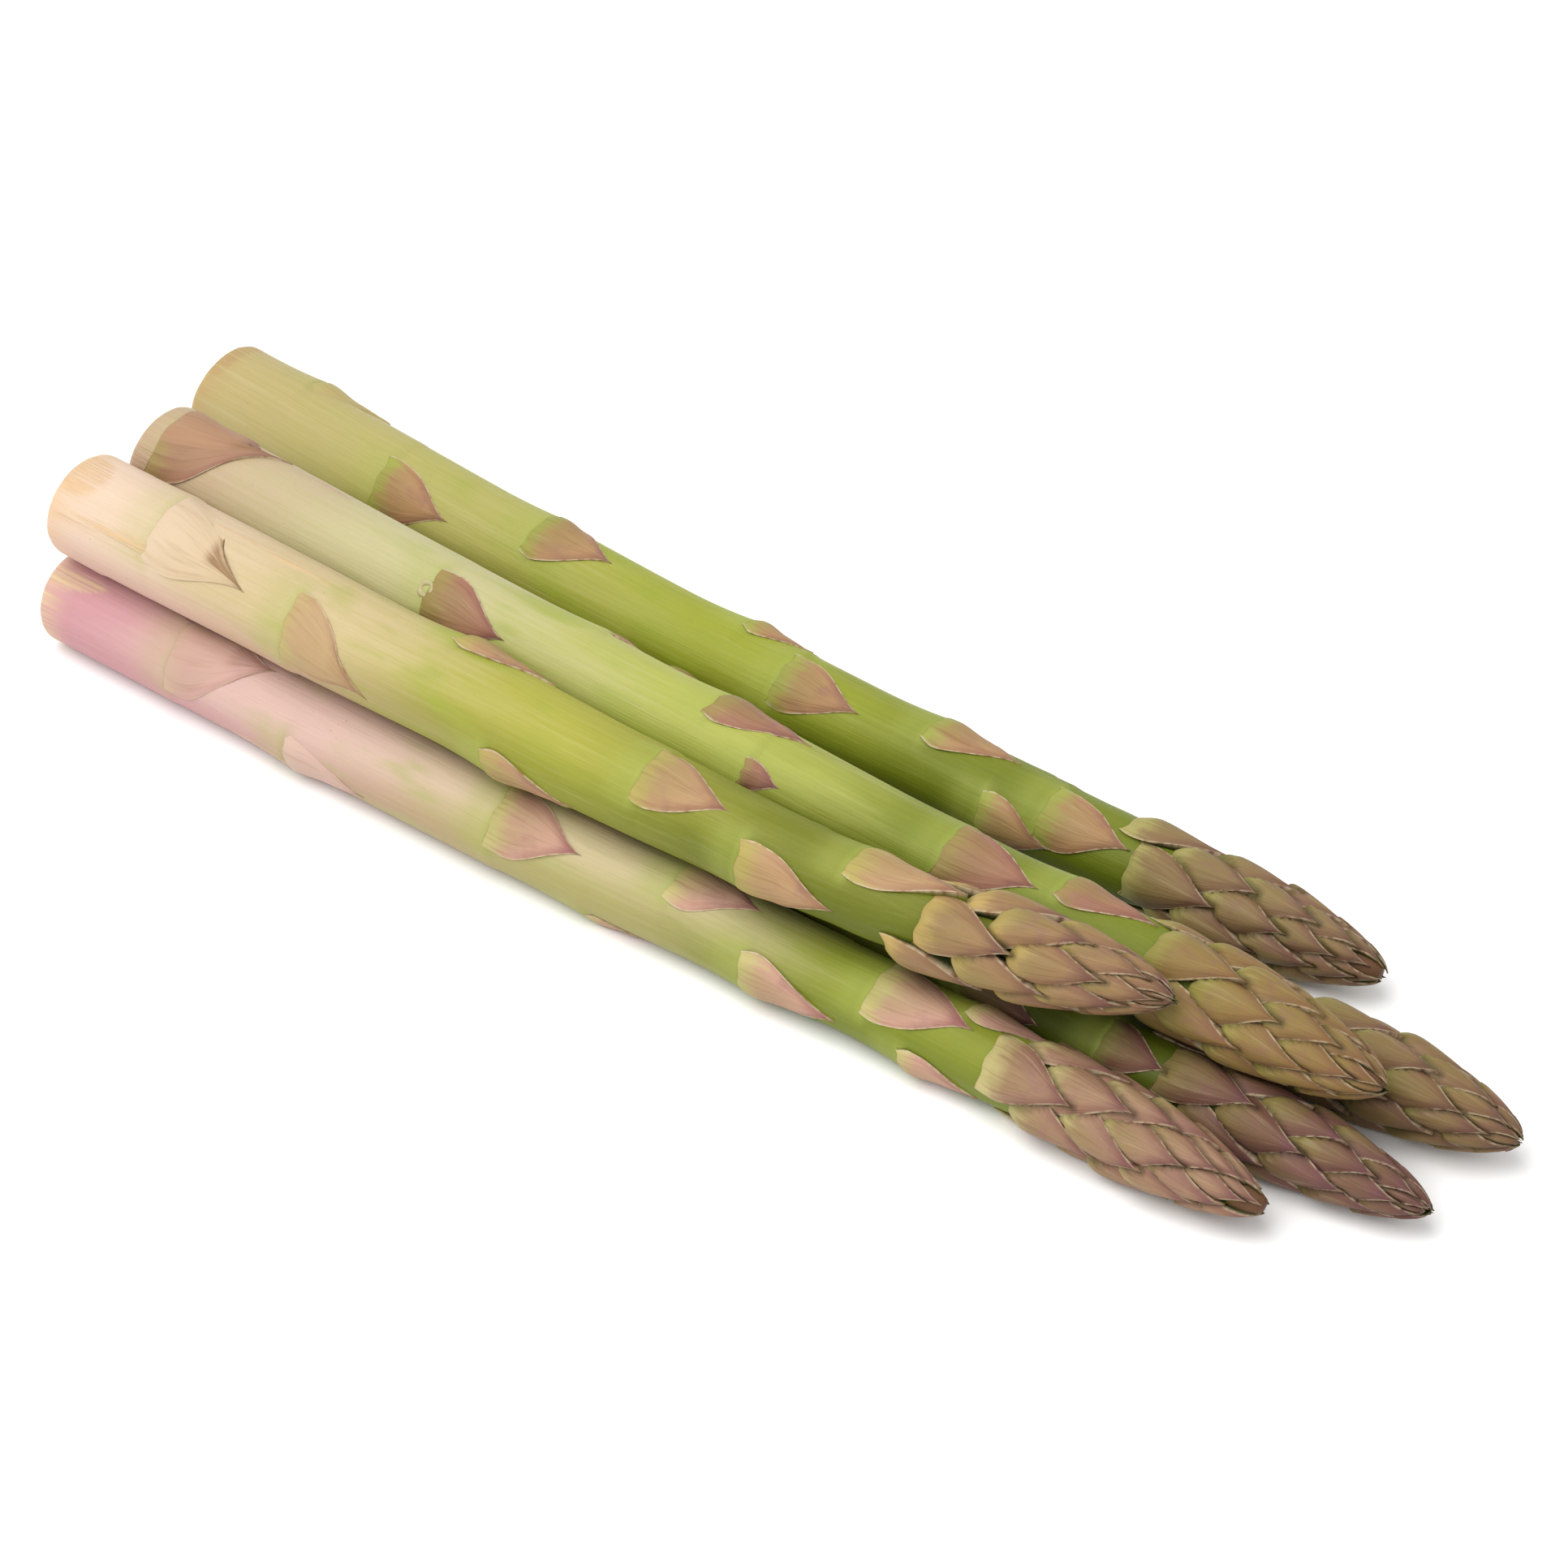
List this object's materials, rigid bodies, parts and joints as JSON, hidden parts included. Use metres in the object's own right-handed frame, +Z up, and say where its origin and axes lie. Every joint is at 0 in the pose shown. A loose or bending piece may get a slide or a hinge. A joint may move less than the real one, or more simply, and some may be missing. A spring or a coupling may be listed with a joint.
{
  "type": "bundle of asparagus",
  "caption": "Loose bundle of fresh green asparagus spears lying on a surface, some on top of the others, with cut butts and pointed scaly heads.",
  "frame": {"origin": "on the surface the bundle lies on, under the middle of its bounding box", "axes": "+X along the spears from the cut butts to the tips, +Z up, +Y from the front spear towards the back one"},
  "size_m": [0.2394, 0.063, 0.03],
  "materials": {
    "spear_back": "fresh green asparagus skin with tan scales, satin",
    "spear_inner_back": "fresh green asparagus skin with olive and mauve scales, satin",
    "spear_inner_front": "fresh dark green asparagus skin with purple-brown scales, satin",
    "spear_front": "asparagus skin, pink at the butt and green at the head, with magenta scales, satin",
    "spear_top_back": "pale green asparagus skin with mauve-brown scales, satin",
    "spear_top_front": "asparagus skin, cream at the butt and olive at the head, with tan scales, satin"
  },
  "bodies": {
    "root": {"spear_back": "spear_back", "spear_inner_back": "spear_inner_back", "spear_inner_front": "spear_inner_front", "spear_front": "spear_front", "spear_top_back": "spear_top_back", "spear_top_front": "spear_top_front"}
  },
  "joints": []
}
